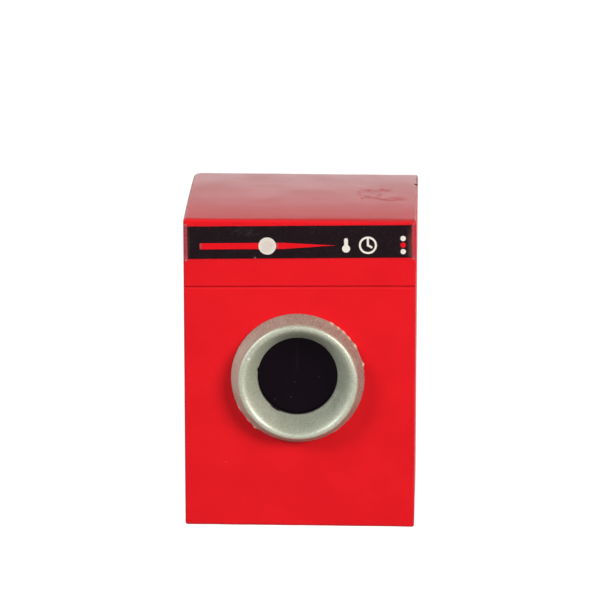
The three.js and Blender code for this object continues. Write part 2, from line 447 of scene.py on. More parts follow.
def distance_to_path(points, path):
    """Distance in plan from each point to the nearest stretch of a path."""
    nearest = np.full(len(points), np.inf)
    for start, end in zip(path, path[1:]):
        start = np.array(start)
        run = end - start
        share = np.clip((points - start) @ run / (run @ run), 0, 1)
        gap = points - start - share[:, None] * run
        nearest = np.minimum(nearest, np.hypot(gap[:, 0], gap[:, 1]))
    return nearest


# Meshes

def add_object(name, data):
    """Puts a mesh, a light or a camera into the scene."""
    obj = bpy.data.objects.new(name, data)
    bpy.context.scene.collection.objects.link(obj)
    return obj


def mesh_object(name, points, faces, attributes=None):
    """A closed mesh from points in millimetres, with its faces turned out and shaded smooth."""
    mesh = bpy.data.meshes.new(name)
    mesh.from_pydata([Vector(point) * MM for point in points], [], faces)
    for key, values in (attributes or {}).items():
        mesh.attributes.new(key, "FLOAT", "POINT").data.foreach_set("value", values)
    turned = bmesh.new()
    turned.from_mesh(mesh)
    bmesh.ops.recalc_face_normals(turned, faces=turned.faces)
    turned.to_mesh(mesh)
    turned.free()
    mesh.polygons.foreach_set("use_smooth", [True] * len(mesh.polygons))
    mesh.set_sharp_from_angle(angle=SHARP_ANGLE)
    return add_object(name, mesh)


def box_skin(lines, hole=None):
    """Points and quads of a box whose sides follow the grid lines along X, Y and Z. The hole is
    a range of X and of Z that is left open in the front. Its edge is given back too."""
    (left, right), (foot, head) = hole_steps(lines, hole) if hole else ((0, 0), (0, 0))
    found = {}
    points = []

    def corner(*place):
        if place not in found:
            found[place] = len(points)
            points.append([axis[step] for axis, step in zip(lines, place)])
        return found[place]

    quads = []
    for axis in range(3):
        across, up = (axis + 1) % 3, (axis + 2) % 3
        for side in (0, len(lines[axis]) - 1):
            at_front = axis == 1 and side == 0
            for i in range(len(lines[across]) - 1):
                for j in range(len(lines[up]) - 1):
                    if at_front and foot <= i < head and left <= j < right:
                        continue
                    quad = []
                    for step, rise in ((i, j), (i + 1, j), (i + 1, j + 1), (i, j + 1)):
                        place = [0, 0, 0]
                        place[axis], place[across], place[up] = side, step, rise
                        quad.append(corner(*place))
                    quads.append(quad)
    edge = [(i, foot) for i in range(left, right)]
    edge += [(right, j) for j in range(foot, head)]
    edge += [(i, head) for i in range(right, left, -1)]
    edge += [(left, j) for j in range(head, foot, -1)]
    return np.array(points), quads, [corner(i, 0, j) for i, j in edge]


def hole_steps(lines, hole):
    """The grid steps nearest to a hole's ends, along X and along Z."""
    steps = []
    for axis, ends in ((lines[0], hole[0]), (lines[2], hole[1])):
        steps.append([int(np.argmin(np.abs(np.array(axis) - end))) for end in ends])
    return steps


def rounded(points, radii):
    """Rounds the edges of a sharp box by a radius that may differ from point to point."""
    radii = radii[:, None]
    core = np.clip(points, points.min(axis=0) + radii, points.max(axis=0) - radii)
    out = points - core
    length = np.linalg.norm(out, axis=1, keepdims=True)
    return core + out / np.maximum(length, TINY) * radii


def bore_point(radius, depth, angle):
    """A point about the bore's axis, at a depth behind the front."""
    return RING_X + radius * math.cos(angle), FRONT + depth, RING_Z + radius * math.sin(angle)


def lathe(profile, segments):
    """Points and quads of a closed profile of radius and depth, turned about the bore's axis."""
    points = []
    quads = []
    count = len(profile)
    for turn in range(segments):
        angle = 2 * math.pi * turn / segments
        points += [bore_point(radius, depth, angle) for radius, depth in profile]
        here, there = turn * count, (turn + 1) % segments * count
        for step in range(count):
            ahead = (step + 1) % count
            quads.append([here + step, here + ahead, there + ahead, there + step])
    return np.array(points), quads


def arc(centre, radius, start, end, count):
    """Points of an arc, with both its ends. Angles are in degrees."""
    angles = np.radians(np.linspace(start, end, count + 1))
    return [(centre[0] + radius * math.cos(a), centre[1] + radius * math.sin(a)) for a in angles]


def curve(start, bend, end, count):
    """Points of a curve that leaves start towards bend and comes to end from there."""
    start, bend, end = np.array(start), np.array(bend), np.array(end)
    shares = np.linspace(0, 1, count + 1)
    return [tuple((1 - t) ** 2 * start + 2 * t * (1 - t) * bend + t * t * end) for t in shares]


def straight(start, end, count):
    """Points on the way from start to end, without the two ends."""
    shares = np.linspace(0, 1, count + 1)[1:-1]
    return [tuple(np.array(start) * (1 - t) + np.array(end) * t) for t in shares]


# Wooden block

def block_axis(low, high, stretches, last_step):
    """The block's grid lines along one axis, close together at its two edges."""
    return grid_lines(low, (
        (low + ARRIS_RADIUS, EDGE_STEP), (low + NEAR_ZONE, NEAR_STEP), *stretches,
        (high - ARRIS_RADIUS, last_step), (high, EDGE_STEP)))


def block_lines():
    """The block's grid lines, close together at its edges, marks and groove, and its hole."""
    half = BORE_RADIUS + HOLE_MARGIN
    hole = ((RING_X - half, RING_X + half), (RING_Z - half, RING_Z + half))
    x = block_axis(BLOCK_LOW.x, BLOCK_HIGH.x, (
        (hole[0][0], FACE_STEP), (hole[0][1], FACE_STEP),
        (MARK_ZONE_X[0], FACE_STEP), (MARK_ZONE_X[1], MARK_STEP)), MARK_STEP)
    y = block_axis(BLOCK_LOW.y, BLOCK_HIGH.y, (
        (MARK_ZONE_Y[0], FACE_STEP), (MARK_ZONE_Y[1], MARK_STEP),
        (CHIP_ZONE[0], FACE_STEP), (CHIP_ZONE[1], MARK_STEP)), NEAR_STEP)
    z = block_axis(BLOCK_LOW.z, FRONT_HEIGHT, (
        (hole[1][0], FACE_STEP), (hole[1][1], FACE_STEP),
        (GROOVE_HEIGHT - GROOVE_WIDTH, FACE_STEP), (GROOVE_HEIGHT + GROOVE_WIDTH, GROOVE_STEP),
        (FRONT_HEIGHT - NEAR_ZONE, FACE_STEP)), NEAR_STEP)
    return (x, y, z), hole


def block_radii(points):
    """The edge radius at each point: uneven along the edges, and smaller on the right."""
    radii = ARRIS_RADIUS * (1 + ARRIS_UNEVENNESS * noise_of(points, ARRIS_WAVE))
    right = ramp(points[:, 0], BLOCK_HIGH.x - SHARP_REACH, BLOCK_HIGH.x)
    return radii * (1 - RIGHT_SHARPNESS * right)


def round_back_corners(points):
    """Rounds the worn upright edges at the back in plan, the left one more."""
    for side, radius in zip((-1, 1), BACK_CORNER_RADII):
        out = np.clip((side * points[:, 0] - BLOCK_HIGH.x) / radius + 1, 0, 1)
        back = np.clip((points[:, 1] - BLOCK_HIGH.y) / radius + 1, 0, 1)
        points[:, 0] -= side * radius * out * (1 - np.sqrt(1 - back ** 2 / 2))
        points[:, 1] -= radius * back * (1 - np.sqrt(1 - out ** 2 / 2))


def turn_groove_rows(points):
    """Tilts the rows of the front near the groove, so that they run along it."""
    x, z = points[:, 0], points[:, 2]
    share = ramp(np.abs(z - GROOVE_HEIGHT), GROOVE_REACH, 0)
    points[:, 2] = z + math.tan(GROOVE_TURN) * x * share


def cut_groove(points):
    """A V with a soft mouth. Only what lies in front of it moves back. Gives its depth."""
    across = points[:, 2] - GROOVE_HEIGHT - math.tan(GROOVE_TURN) * points[:, 0]
    share = ramp(np.abs(across), GROOVE_WIDTH / 2, 0) ** GROOVE_FULLNESS
    at_front = points[:, 1] < FRONT + GROOVE_DEPTH
    points[:, 1] = np.maximum(points[:, 1], FRONT + GROOVE_DEPTH * share)
    return share * at_front


def lift_back(points):
    """The block is a little out of square: its top is higher at the left and back."""
    x, y, z = points.T
    back = (y - BLOCK_LOW.y) / (BLOCK_HIGH.y - BLOCK_LOW.y)
    lifted = back ** 2 * (1 - x / BLOCK_HIGH.x) / 2
    points[:, 2] = z + BACK_LIFT * lifted * ramp(z, FRONT_HEIGHT - LIFT_REACH, FRONT_HEIGHT)


def stretch_bevel(points):
    """Draws the upper front edge out backwards, more and more towards its right end."""
    depth = points[:, 1] - FRONT
    near = ARRIS_RADIUS * (1 + BEVEL_STRETCH * ramp(points[:, 0], -BLOCK_HIGH.x, BLOCK_HIGH.x))
    behind = near + (depth - ARRIS_RADIUS) * (BEVEL_REACH - near) / (BEVEL_REACH - ARRIS_RADIUS)
    drawn = np.where(depth < ARRIS_RADIUS, depth * near / ARRIS_RADIUS, behind)
    on_top = (points[:, 2] > FRONT_HEIGHT - ARRIS_RADIUS) & (depth < BEVEL_REACH)
    points[:, 1] = np.where(on_top, FRONT + drawn, points[:, 1])


def crown_top(points):
    """Raises the top to its crown, and what lies under it in proportion."""
    share = 1 - (points[:, 1] / BLOCK_HIGH.y) ** 2
    points[:, 2] *= 1 + TOP_CROWN * share / FRONT_HEIGHT


def mark_top(points):
    """Presses the streaks into the top and raises the patch round them. Gives their strength."""
    plan = points[:, :2]
    on_top = ramp(points[:, 2] - FRONT_HEIGHT, *SCAR_START)
    grain = noise_of(points, SCAR_GRAIN) + SCAR_FINE_SHARE * noise_of(points, SCAR_FINE_GRAIN)
    patch_gap = oval_gap(plan, SCAR_PATCH_CENTRE, SCAR_PATCH_RADII)
    patch = ramp(patch_gap, 1, SCAR_PATCH_CORE_SHARE) * on_top
    rise = patch * SCAR_PATCH_RISE * (SCAR_PATCH_GRAIN + grain)
    broken = np.clip(SCAR_FULLNESS + SCAR_BREAKS * grain, *SCAR_LIMITS) * on_top
    strength = np.zeros(len(points))
    for half_width, share, path in SCARS:
        gap = distance_to_path(plan, path) / half_width + SCAR_WOBBLE * grain
        strength = np.maximum(strength, np.exp(-gap ** 2) * share * broken)
    for pit in PITS:
        gap = oval_gap(plan, pit, PIT_RADII)
        strength = np.maximum(strength, np.exp(-gap ** 2) * on_top)
    points[:, 2] += rise - SCAR_DEPTH * strength
    return np.clip(strength, 0, 1), patch


def chip_edge(points):
    """Takes small round bites out of the right upper edge. Gives where the lacquer is gone,
    and how near each point is to a bite."""
    bare = np.zeros(len(points))
    halo = np.zeros(len(points))
    for y, radius, bite in CHIPS:
        share = 1 - (y / BLOCK_HIGH.y) ** 2
        out = radius - bite
        centre = np.array((BLOCK_HIGH.x + out, y, FRONT_HEIGHT + TOP_CROWN * share + out))
        away = points - centre
        gap = np.linalg.norm(away, axis=1)
        inside = gap < radius
        points[inside] = centre + (away / gap[:, None] * radius)[inside]
        bare = np.maximum(bare, ramp(gap, radius + CHIP_EDGE, radius))
        halo = np.maximum(halo, ramp(np.abs(gap - radius), *CHIP_HALO))
    return bare, halo


def bore(points, quads, edge):
    """Joins a blind round bore to the open edge in the front, with a flat mouth round it."""
    rows = [edge]
    _, angles = ring_polar(points[edge])
    mouth = (BORE_RADIUS + BORE_MOUTH, 0)
    new = []
    for radius, depth in (mouth, (BORE_RADIUS, 0), (BORE_RADIUS, BORE_DEPTH)):
        first = len(points) + len(new)
        rows.append(list(range(first, first + len(edge))))
        new += [bore_point(radius, depth, angle) for angle in angles]
    middle = len(points) + len(new)
    new.append(bore_point(0, BORE_DEPTH, 0))
    count = len(edge)
    for outer, inner in zip(rows, rows[1:]):
        for i in range(count):
            quads.append([outer[i], outer[(i + 1) % count], inner[(i + 1) % count], inner[i]])
    for i in range(count):
        quads.append([rows[-1][i], rows[-1][(i + 1) % count], middle])
    return np.vstack((points, new)), quads


def wooden_block():
    """The block, which is shaped step by step from a sharp box."""
    lines, hole = block_lines()
    points, quads, edge = box_skin(lines, hole)
    radii = block_radii(points)
    turn_groove_rows(points)
    points = rounded(points, radii)
    round_back_corners(points)
    swell = BLOCK_SWELL * (noise_of(points, BLOCK_SWELL_LENGTH) - 1)
    middle = np.array((0, 0, FRONT_HEIGHT / 2))
    half = np.array((BLOCK_HIGH.x, BLOCK_HIGH.y, FRONT_HEIGHT / 2))
    points += (points - middle) / half * swell[:, None]
    groove = cut_groove(points)
    stretch_bevel(points)
    lift_back(points)
    crown_top(points)
    scar, patch = mark_top(points)
    points[:, 2] = np.minimum(points[:, 2], BLOCK_HIGH.z)
    bare, halo = chip_edge(points)
    patch = np.maximum(patch, halo * (1 - bare))
    points, quads = bore(points, quads, edge)
    spare = np.zeros(len(points) - len(scar))
    # The groove mark carries painted shade in the groove
    marks = {"scar": scar, "patch": patch, "bare": bare, "groove": groove}
    marks = {key: np.concatenate((values, spare)) for key, values in marks.items()}
    return mesh_object("lacquered_block", points, quads, marks)


# Door ring and porthole disc

def ring_profile():
    """The ring's section as radius and depth behind the front, from the crest outwards."""
    crest = (CREST_RADIUS, -CREST_REACH)
    lip = (CREST_RADIUS, LIP_RADIUS - CREST_REACH)
    lip_end = (CREST_RADIUS + LIP_RADIUS, LIP_RADIUS - CREST_REACH)
    flange_top = (FLANGE_RADIUS, -FLANGE_EDGE)
    flange_foot = (FLANGE_RADIUS - FLANGE_ROUND, 0)
    spigot_foot = (SPIGOT_RADIUS, 0)
    hole_end = (HOLE_RADIUS, SPIGOT_LENGTH)
    hole_edge = (HOLE_RADIUS, HOLE_SETBACK + HOLE_EDGE_ROUND)
    funnel_end = (HOLE_RADIUS, HOLE_SETBACK)
    bend = (CREST_RADIUS - FUNNEL_BEND_SHARE * FUNNEL_WIDTH, -CREST_REACH)
    points = arc(lip, LIP_RADIUS, -90, 0, LIP_STEPS)
    points += straight(lip_end, flange_top, CONE_STEPS)
    points += [flange_top, (FLANGE_RADIUS, -FLANGE_ROUND), flange_foot]
    points += straight(flange_foot, spigot_foot, BACK_STEPS)
    points += [spigot_foot, (SPIGOT_RADIUS, SPIGOT_LENGTH), hole_end]
    points += straight(hole_end, hole_edge, BACK_STEPS)
    points += [hole_edge]
    points += curve(funnel_end, bend, crest, FUNNEL_STEPS)[1:-1]
    return points


def ring_polar(points):
    """Radius and angle of each point about the bore's axis."""
    x, z = points[:, 0] - RING_X, points[:, 2] - RING_Z
    return np.hypot(x, z), np.arctan2(z, x)


def angle_gap(angles, centre):
    return np.abs((angles - centre + math.pi) % (2 * math.pi) - math.pi)


def spread_rings(points, angles, growth):
    """Moves points outwards from the bore's axis."""
    points[:, 0] += growth * np.cos(angles)
    points[:, 2] += growth * np.sin(angles)


def add_flash(points):
    """Lumps on the ring's outer edge, and a hole that is a little oval and has a nick. Gives
    where the lumps are pale, partly their own pale colour and partly a painted highlight."""
    radius, angles = ring_polar(points)
    full = FLANGE_RADIUS - FLASH_FULL
    at_edge = ramp(radius, FLANGE_RADIUS - FLASH_ROOT, full)
    at_edge *= ramp(points[:, 1] - FRONT, *FLASH_FOOT)
    growth = np.zeros(len(points))
    pale = np.zeros(len(points))
    for degrees, height, half_length in FLASH_LUMPS:
        gap = angle_gap(angles, math.radians(degrees)) * FLANGE_RADIUS / half_length
        growth = np.maximum(growth, height * np.exp(-gap ** 2))
        pale = np.maximum(pale, np.exp(-2 * gap ** 2))
    at_hole = ramp(radius - HOLE_RADIUS, *HOLE_ZONE)
    nick = angle_gap(angles, HOLE_NICK_ANGLE) * HOLE_RADIUS / HOLE_NICK_LENGTH
    hole = HOLE_OVALITY * np.cos(2 * (angles - HOLE_OVAL_ANGLE)) - HOLE_SHIFT * np.cos(angles)
    growth = growth * at_edge + at_hole * (hole + HOLE_NICK_DEPTH * np.exp(-nick ** 2))
    spread_rings(points, angles, growth)
    return pale * at_edge * ramp(radius, FLANGE_RADIUS - FLASH_SHINE_ROOT, full)


def black_overlap(points):
    """Where black paint covers the ring: its bore, and unevenly a little of the funnel."""
    radius, angles = ring_polar(points)
    drip = ramp(angle_gap(angles, PAINT_DRIP_ANGLE), PAINT_DRIP_SPAN, 0)
    around = np.stack((np.cos(angles), np.sin(angles), 0 * angles), 1)
    wobble = 0.5 + 0.5 * noise_of(around, PAINT_WOBBLE)
    reach = HOLE_RADIUS + PAINT_OVERLAP + PAINT_DRIP_REACH * drip * wobble
    inner = points[:, 1] > FRONT - HOLE_SETBACK
    return ramp(radius, reach + PAINT_EDGE, reach - PAINT_EDGE) * inner


def speck(points):
    """A small white speck on the inner side of the lip."""
    x, _, z = bore_point(RIM_SPECK_OUT, 0, RIM_SPECK_ANGLE)
    gap = np.hypot(points[:, 0] - x, points[:, 2] - z)
    return ramp(gap, *RIM_SPECK_RADII) * (points[:, 1] < FRONT - HOLE_SETBACK)


def painted_cone_shade(points):
    """Painted shade and painted red reflection on the outer cone, most of all on its right."""
    radius, angles = ring_polar(points)
    on_cone = radius > CREST_RADIUS + LIP_RADIUS
    patchy = np.clip(1 + CONE_SHADE_PATCHES * noise_of(points, CAST_SWELL_LENGTH), 0, 1)
    return ramp(angle_gap(angles, CONE_SHADE_ANGLE), CONE_SHADE_SPAN, 0) * on_cone * patchy


def painted_funnel_light(points):
    """Painted light and shade from -1 to 1: the funnel lighter towards one side and darker
    opposite, the lip lighter at its foot and darker at its top.
    """
    radius, angles = ring_polar(points)
    funnel = ramp(radius, CREST_RADIUS, CREST_RADIUS - CREST_BLEND)
    return funnel * np.cos(angles - LIT_FUNNEL_ANGLE) - LIP_PAINTED_LIGHT * (1 - funnel) * np.sin(angles)


def door_ring():
    """The ring, whose swelling mostly goes inwards, so that it stays within its size."""
    points, quads = lathe(ring_profile(), RING_SEGMENTS)
    # The flash mark is pale flash with a painted highlight
    marks = {"black": black_overlap(points), "flash": add_flash(points)}
    marks["speck"] = speck(points)
    # The thin mark is painted shade and painted red reflection on the outer cone
    marks["thin"] = painted_cone_shade(points)
    shown = ramp(points[:, 1], FRONT, FRONT - FLANGE_EDGE)
    _, angles = ring_polar(points)
    swell = CAST_SWELL * (noise_of(points, CAST_SWELL_LENGTH) - 0.5) * shown
    spread_rings(points, angles, swell)
    points[:, 0] += CAST_LEAN * np.clip(FRONT - FLANGE_EDGE - points[:, 1], -HOLE_SETBACK, None)
    # Painted light and shade by side on the funnel and lip
    marks["painted_light"] = painted_funnel_light(points)
    return mesh_object("silver_ring", points, quads, marks)


def porthole_disc():
    """The disc, with a rounded rim and a face that is dished a little."""
    low, high = box_of("porthole_disc")
    radius = radius_of("porthole_disc")
    face, back = low.y - FRONT, high.y - FRONT
    flat = radius - DISC_RIM
    shares = np.linspace(0, 1, DISC_STEPS)
    profile = [(flat * t, face + DISC_DISH * (1 - t * t)) for t in shares[1:]]
    profile += arc((flat, face + DISC_RIM), DISC_RIM, -90, 0, DISC_RIM_STEPS)[1:]
    profile += [(radius, back)]
    points, quads = lathe(profile, RING_SEGMENTS // 2)
    count = len(profile)
    quads = [quad for quad in quads if {quad[0] % count, quad[1] % count} != {0, count - 1}]
    middles = [bore_point(0, face + DISC_DISH, 0), bore_point(0, back, 0)]
    for middle, step in ((0, 0), (1, count - 1)):
        ring = range(step, len(points), count)
        hub = len(points) + middle
        quads += [[a, b, hub] for a, b in zip(ring, [*ring[1:], ring[0]])]
    return mesh_object("black_disc", np.vstack((points, middles)), quads)


# Label pieces, made in the label's own plane: u runs along it, v up it

FILM_LOW, FILM_HIGH = box_of("label_film")
LABEL_CENTRE = (FILM_LOW + FILM_HIGH) / 2
LABEL_COS, LABEL_SIN = math.cos(LABEL_TURN), math.sin(LABEL_TURN)


def to_label(point):
    """Place in the label's plane of a point of the part."""
    x, z = point[0] - LABEL_CENTRE.x, point[2] - LABEL_CENTRE.z
    return x * LABEL_COS + z * LABEL_SIN, z * LABEL_COS - x * LABEL_SIN


def from_label(points):
    """Points of the part for points of u, depth and v."""
    u, depth, v = np.array(points).T
    return np.stack((LABEL_CENTRE.x + u * LABEL_COS - v * LABEL_SIN, depth,
                     LABEL_CENTRE.z + u * LABEL_SIN + v * LABEL_COS), axis=1)


def unturned_size(node):
    """Width and height of a rectangular label piece before the label was turned."""
    low, high = box_of(node)
    wide, tall = high.x - low.x, high.z - low.z
    width = wide * LABEL_COS - tall * LABEL_SIN
    height = tall * LABEL_COS - wide * LABEL_SIN
    spread = math.cos(2 * LABEL_TURN)
    return width / spread, height / spread


def round_plan(points, radius):
    """Rounds the corners of a plate's outline, its inside with it."""
    half_u, half_v = np.abs(points[:, 0]).max(), np.abs(points[:, 2]).max()
    core_u = np.clip(points[:, 0], radius - half_u, half_u - radius)
    core_v = np.clip(points[:, 2], radius - half_v, half_v - radius)
    a, b = (points[:, 0] - core_u) / radius, (points[:, 2] - core_v) / radius
    points[:, 0] = core_u + radius * a * np.sqrt(1 - b * b / 2)
    points[:, 2] = core_v + radius * b * np.sqrt(1 - a * a / 2)


def plate(width, height, front, back, corner, step):
    """A thin rectangular plate with round corners and edges, as points of u, depth and v."""
    near = max(corner, step)
    fine = corner / 5
    edge = (back - front) / 4
    spans = []
    for size in (width, height):
        half = size / 2
        spans.append(grid_lines(-half, (
            (-half + edge, edge / 2), (near - half, fine), (half - near, step),
            (half - edge, fine), (half, edge / 2))))
    depth = grid_lines(front, ((front + edge, edge / 2), (back - edge, edge), (back, edge / 2)))
    points, quads, _ = box_skin((spans[0], depth, spans[1]))
    points = rounded(points, np.full(len(points), edge))
    round_plan(points, corner)
    return points, quads


def label_film():
    """The clear film: its ends bend over the block's eased edges and its corners lift."""
    width, height = unturned_size("label_film")
    width += 2 * FILM_OVERHANG
    points, quads = plate(width, height, FILM_LOW.y, FILM_HIGH.y, FILM_CORNER_RADIUS, FILM_STEP)
    u, v = np.abs(points[:, 0]), np.abs(points[:, 2])
    corner_gap = np.hypot(width / 2 - u, height / 2 - v)
    points = from_label(points)
    past = np.clip(np.abs(points[:, 0]) - BLOCK_HIGH.x + ARRIS_RADIUS, 0, ARRIS_RADIUS)
    points[:, 1] += ARRIS_RADIUS - np.sqrt(ARRIS_RADIUS ** 2 - past ** 2)
    points[:, 1] -= FILM_CORNER_LIFT * ramp(corner_gap, FILM_CORNER_REACH, 0)
    rim = ramp(u, FILM_RIM_START, FILM_RIM_START + FILM_RIM_EASE)
    rim *= np.where(points[:, 0] < 0, 1, FILM_RIM_RIGHT_SHARE)
    glint = ramp(corner_gap, *FILM_GLINT_RADII)
    return mesh_object("clear_film", points, quads, {"rim": rim, "glint": glint})


def label_ground():
    """The black that the label is printed on."""
    width, height = unturned_size("label_ground")
    low, high = box_of("label_ground")
    points, quads = plate(width, height, low.y, high.y, INK_CORNER_RADIUS, GROUND_STEP)
    return mesh_object("black_ground", from_label(points), quads)


def printed(name, node, loops):
    """A flat piece of print in the space of a CAD node. The first loop is its outline, the
    others are holes in it. Its front edges are rounded a little."""
    low, high = box_of(node)
    work = bmesh.new()
    for loop in loops:
        corners = [work.verts.new(Vector(p) * MM) for p in
                   from_label([(u, high.y, v) for u, v in loop])]
        for a, b in zip(corners, corners[1:] + corners[:1]):
            work.edges.new((a, b))
    bmesh.ops.triangle_fill(work, edges=work.edges, use_beauty=True)
    grown = bmesh.ops.extrude_face_region(work, geom=work.faces[:])
    moved = [item for item in grown["geom"] if isinstance(item, bmesh.types.BMVert)]
    bmesh.ops.translate(work, verts=moved, vec=(0, (low.y - high.y) * MM, 0))
    front = set(moved)
    rim = [edge for edge in work.edges if front.issuperset(edge.verts)
           and any(not front.issuperset(face.verts) for face in edge.link_faces)]
    bmesh.ops.bevel(work, geom=rim, offset=INK_EDGE_ROUND * MM, segments=2, affect="EDGES")
    bmesh.ops.recalc_face_normals(work, faces=work.faces)
    mesh = bpy.data.meshes.new(name)
    work.to_mesh(mesh)
    work.free()
    return add_object(name, mesh)


def circle(centre, radius):
    return arc(centre, radius, 0, 360, PRINT_SEGMENTS)[:-1]


def node_centre(node):
    low, high = box_of(node)
    return to_label((low + high) / 2)


def slider_track():
    """A bar from the left that tapers to a point on the right."""
    low, high = box_of("slider_track")
    left, middle = to_label(Vector((low.x, 0, low.z + TRACK_HEIGHT / 2)))
    tip = to_label(high)[0]
    half = TRACK_HEIGHT / 2
    start = tip - TRACK_TAPER
    end = TRACK_END_RADIUS
    loop = arc((left + end, middle + half - end), end, 180, 90, TRACK_CORNER_STEPS)
    loop += [(start, middle + half), (tip, middle), (start, middle - half)]
    loop += arc((left + end, middle - half + end), end, -90, -180, TRACK_CORNER_STEPS)
    return printed("red_track", "slider_track", [loop])


def round_print(name, node):
    """A disc of print, such as the mark on the track or a lamp."""
    return printed(name, node, [circle(node_centre(node), radius_of(node))])


def heat_symbol():
    """A thermometer: a round bulb and a round-topped stem, as one outline."""
    low, high = box_of("heat_symbol")
    u, v = node_centre("heat_symbol")
    height = high.z - low.z
    half = STEM_WIDTH / 2
    neck = math.degrees(math.acos(half / BULB_RADIUS))
    bulb = (u, v - height / 2 + BULB_RADIUS)
    loop = arc((u, v + height / 2 - half), half, 0, 180, STEM_STEPS)
    loop += arc(bulb, BULB_RADIUS, 180 - neck, 360 + neck, BULB_STEPS)
    return printed("thermometer", "heat_symbol", [loop])


def timer_symbol():
    """A ring with a long hand up to it and a short one, as an outline with one hole."""
    u, v = node_centre("timer_symbol")
    outer = radius_of("timer_symbol")
    inner = outer - TIMER_LINE
    half = HAND_WIDTH / 2
    side = math.degrees(math.asin(half / inner))
    hole = arc((0, 0), inner, 90 + side, 450 - side, TIMER_STEPS)
    out = np.array((math.sin(SHORT_HAND_ANGLE), math.cos(SHORT_HAND_ANGLE)))
    across = np.array((-out[1], out[0])) * half
    tip = out * SHORT_HAND
    above = across + out * (half - across[0]) / out[0]
    below = out * (across[1] - half) / out[1] - across
    hole += [tuple(above), tuple(tip + across), tuple(tip - across), tuple(below), (-half, -half)]
    loops = [circle((u, v), outer), [(u + a, v + b) for a, b in hole]]
    return printed("timer_face", "timer_symbol", loops)


# Shader nodes. Most of these functions add nodes to a tree and give back their output.

def fill(tree, socket, value):
    """Sets a socket to a value, or links another node's output to it. Colours are opaque."""
    if isinstance(value, bpy.types.NodeSocket):
        tree.links.new(value, socket)
    elif socket.type == "RGBA":
        socket.default_value = (*value, 1.0)
    else:
        socket.default_value = value


def add_node(tree, kind, inputs=None, **settings):
    """A node with its settings and inputs. An input is a value or another node's output."""
    node = tree.nodes.new(kind)
    for key, value in settings.items():
        setattr(node, key, value)
    for key, value in (inputs or {}).items():
        fill(tree, node.inputs[key], value)
    return node


def calculate(tree, operation, a, b=0.0):
    return add_node(tree, "ShaderNodeMath", {0: a, 1: b}, operation=operation).outputs[0]


def times(tree, a, b):
    return calculate(tree, "MULTIPLY", a, b)


def rest_of(tree, share):
    """What a share leaves of 1."""
    return calculate(tree, "SUBTRACT", 1.0, share)


def remap(tree, value, start, end, low=0.0, high=1.0):
    """Takes value from the range start to end to the range low to high."""
    return add_node(tree, "ShaderNodeMapRange", {
        "Value": value, "From Min": start, "From Max": end, "To Min": low, "To Max": high,
    }).outputs["Result"]


def product(tree, a, b):
    """Multiplies two places or colours part by part."""
    return add_node(tree, "ShaderNodeVectorMath", {0: a, 1: b}, operation="MULTIPLY").outputs[0]


def millimetres(tree, stretch=(1, 1, 1)):
    """The point in millimetres, with each axis drawn out by its stretch."""
    place = add_node(tree, "ShaderNodeTexCoord").outputs["Object"]
    return product(tree, place, tuple(1 / (MM * share) for share in stretch))


def along(tree, place, axis):
    """One coordinate of a place."""
    return add_node(tree, "ShaderNodeSeparateXYZ", {0: place}).outputs[axis]


def facing(tree, axis):
    """How far the surface faces along one axis of the part, from -1 to 1."""
    return along(tree, add_node(tree, "ShaderNodeNewGeometry").outputs["Normal"], axis)


def sideways(tree, start, end):
    """0 where the surface faces left or right by less than start, and 1 by more than end."""
    return remap(tree, calculate(tree, "ABSOLUTE", facing(tree, "X")), start, end)


def mark(tree, name):
    """A mark that the mesh carries from point to point."""
    return add_node(tree, "ShaderNodeAttribute", attribute_name=name).outputs["Fac"]


def grain(tree, place, size, detail=PLAIN_DETAIL):
    """Noise with features of about the given size."""
    return add_node(tree, "ShaderNodeTexNoise", {
        "Vector": place, "Scale": 1 / size, "Detail": detail}).outputs["Fac"]


def stripe(tree, value, centre, half):
    """1 where a value is near a centre, and 0 from half away on."""
    gap = calculate(tree, "ABSOLUTE", calculate(tree, "SUBTRACT", value, centre))
    return remap(tree, gap, half / 3, half, 1.0, 0.0)


def spot(tree, place, centre, radii):
    """1 inside a round or oval spot at a centre in X and Z, and 0 from its edge on."""
    shares = product(tree, place, (1 / radii[0], 0.0, 1 / radii[1]))
    middle = (centre[0] / radii[0], 0.0, centre[1] / radii[1])
    gap = add_node(tree, "ShaderNodeVectorMath", {0: shares, 1: middle},
                   operation="DISTANCE").outputs["Value"]
    return remap(tree, gap, 0.5, 1.0, 1.0, 0.0)


def blend(tree, share, a, b):
    """Mixes two colours."""
    return add_node(tree, "ShaderNodeMix", {0: share, 6: a, 7: b}, data_type="RGBA").outputs[2]


def coat(tree, base, paint, cover, share):
    """Lays a paint over a base: a share of it where cover is 1."""
    return blend(tree, times(tree, cover, share), base, paint)


def relief(tree, height, depth, normal=None):
    """Bump from a height of 0 to 1 that stands for the given depth in millimetres."""
    inputs = {"Height": height, "Distance": depth * MM, "Strength": 1.0}
    if normal:
        inputs["Normal"] = normal
    return add_node(tree, "ShaderNodeBump", inputs).outputs["Normal"]


def ripples(tree, place, size, depth):
    return relief(tree, grain(tree, place, size), depth)


def new_material(name):
    material = bpy.data.materials.new(name)
    material.use_nodes = True
    material.node_tree.nodes.clear()
    return material, material.node_tree


def add_surface(tree, base, rough, normal, more):
    """Ends a material's tree with its shader. More holds the shader's other inputs."""
    inputs = {"Base Color": base, "Roughness": rough, "Normal": normal, "IOR": PAINT_IOR}
    shader = add_node(tree, "ShaderNodeBsdfPrincipled", {**inputs, **more})
    add_node(tree, "ShaderNodeOutputMaterial", {"Surface": shader.outputs["BSDF"]})


# Materials

def upper_edge(tree):
    """1 on the upper part of the eased edges round the top, apart from the front one. There the
    lacquer is duller and carries a painted sheen.
    """
    rise = facing(tree, "Z")
    eased = times(tree, remap(tree, rise, *EDGE_TOP), remap(tree, rise, *EDGE_FOOT))
    return times(tree, eased, remap(tree, facing(tree, "Y"), *BEHIND_FRONT))


